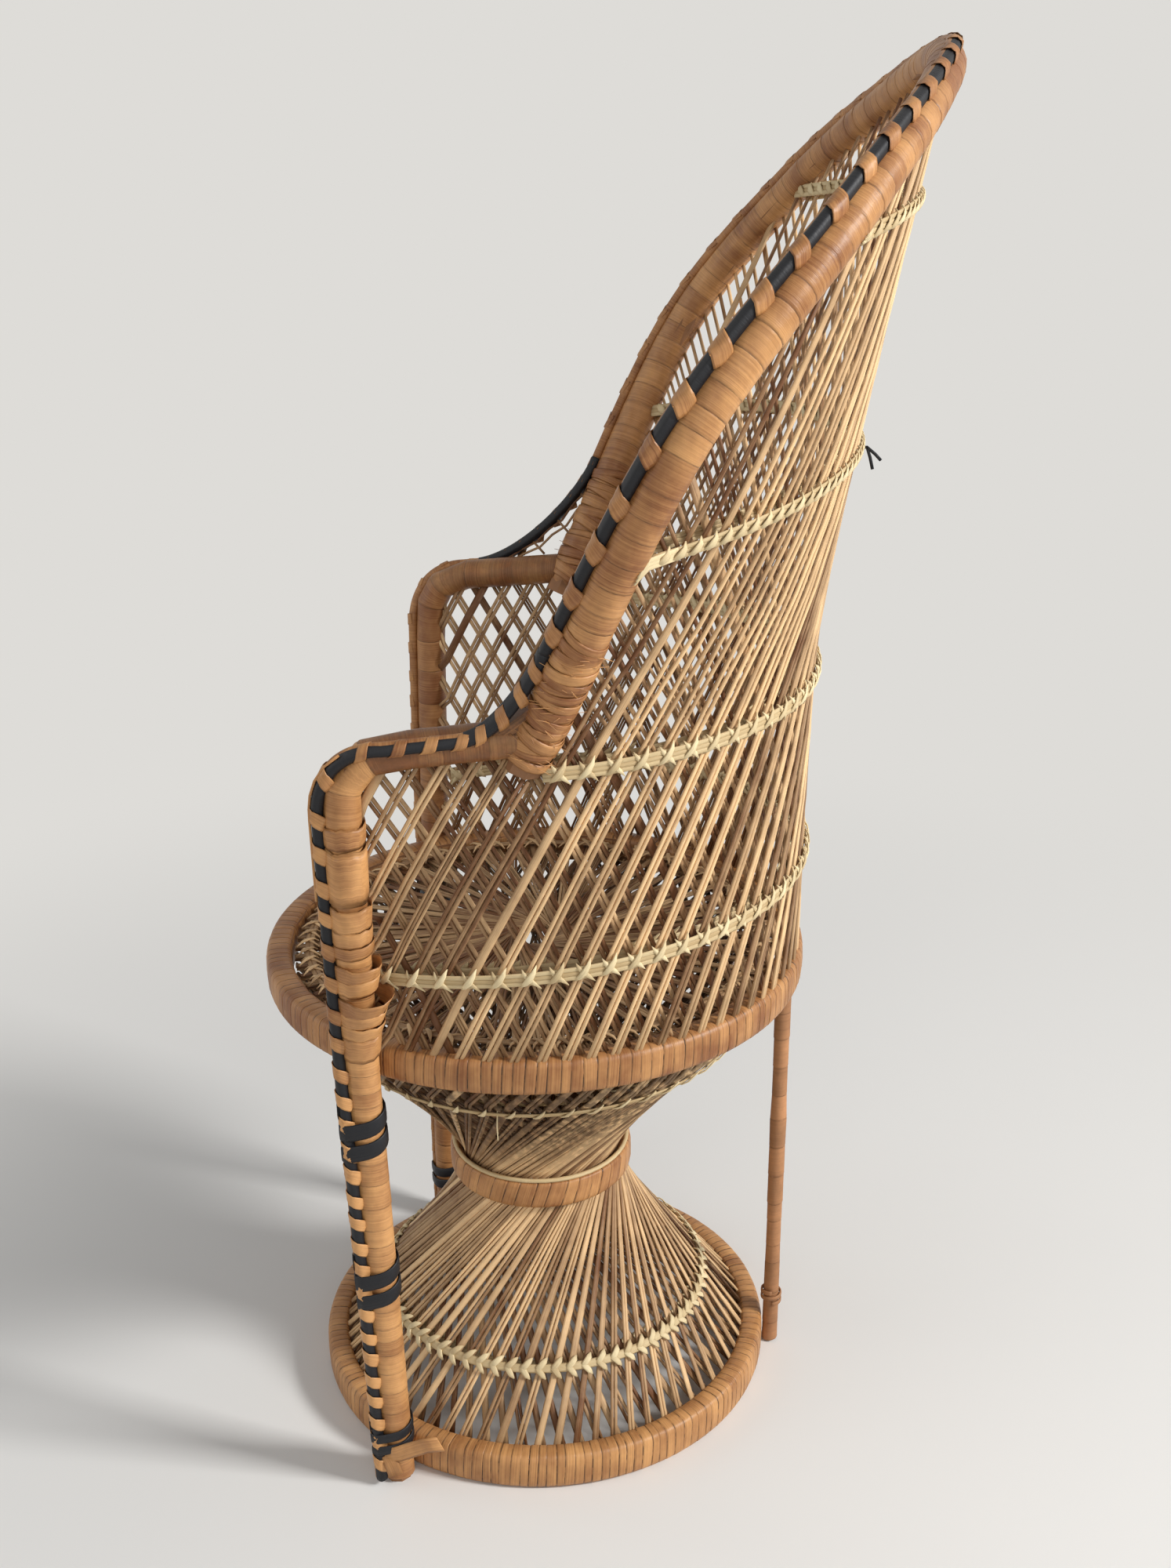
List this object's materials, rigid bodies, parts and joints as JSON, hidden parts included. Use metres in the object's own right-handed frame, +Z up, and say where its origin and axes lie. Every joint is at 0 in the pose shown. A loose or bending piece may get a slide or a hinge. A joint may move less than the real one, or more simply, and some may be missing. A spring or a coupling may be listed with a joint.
{
  "type": "peacock chair",
  "caption": "Woven cane armchair for a child: hourglass pedestal, round seat and high rounded back of crossing strands in a peel-wrapped hoop, with arms bent from the front legs.",
  "frame": {"origin": "on the floor, under the middle of the whole chair's outline", "axes": "+Z up, the sitter faces -Y, +X to the sitter's left"},
  "size_m": [0.3976, 0.3598, 0.7379],
  "materials": {
    "peel": "rattan peel, satin",
    "pole": "bare rattan pole",
    "strand": "bare cane, matt",
    "twine": "pale split cane, matt",
    "black": "black dyed peel, satin",
    "braid": "natural and black peel, plaited",
    "stick": "bare rattan stick",
    "steel": "plain wire nail"
  },
  "bodies": {
    "root": {"base_hoop": "pole", "base_hoop_wrap": "peel", "waist_hoop": "pole", "waist_hoop_wrap": "peel", "waist_rim_cane": "twine", "seat_hoop": "pole", "seat_hoop_wrap": "peel", "back_hoop": "pole", "back_hoop_wrap": "peel", "back_hoop_braid": "braid", "front_leg_left": "pole", "front_leg_wrap_left": "peel", "leg_braid_left": "braid", "leg_binding_upper_left": "black", "leg_binding_middle_left": "black", "leg_binding_lower_left": "black", "base_nail_left": "steel", "seat_nail_left": "steel", "elbow_nail_left": "steel", "front_leg_right": "pole", "front_leg_wrap_right": "peel", "leg_braid_right": "braid", "leg_binding_upper_right": "black", "leg_binding_middle_right": "black", "leg_binding_lower_right": "black", "base_nail_right": "steel", "seat_nail_right": "steel", "elbow_nail_right": "steel", "corner_web_right": "strand", "corner_web_left": "strand", "rear_leg": "stick", "rear_leg_tie": "black", "rear_nail": "steel", "hourglass_strands_outer": "strand", "hourglass_strands_inner": "strand", "base_twine_outer": "twine", "base_twine_inner": "twine", "bowl_twine_outer": "twine", "bowl_twine_inner": "twine", "back_strands_outer": "strand", "back_strands_inner": "strand", "back_twine_1_outer": "twine", "back_twine_1_inner": "twine", "back_twine_2_outer": "twine", "back_twine_2_inner": "twine", "back_twine_3_outer": "twine", "back_twine_3_inner": "twine", "back_twine_4_outer": "twine", "back_twine_4_inner": "twine", "seat_strands_upper": "strand", "seat_strands_lower": "strand", "seat_twine_upper": "twine", "seat_twine_lower": "twine"}
  },
  "joints": []
}
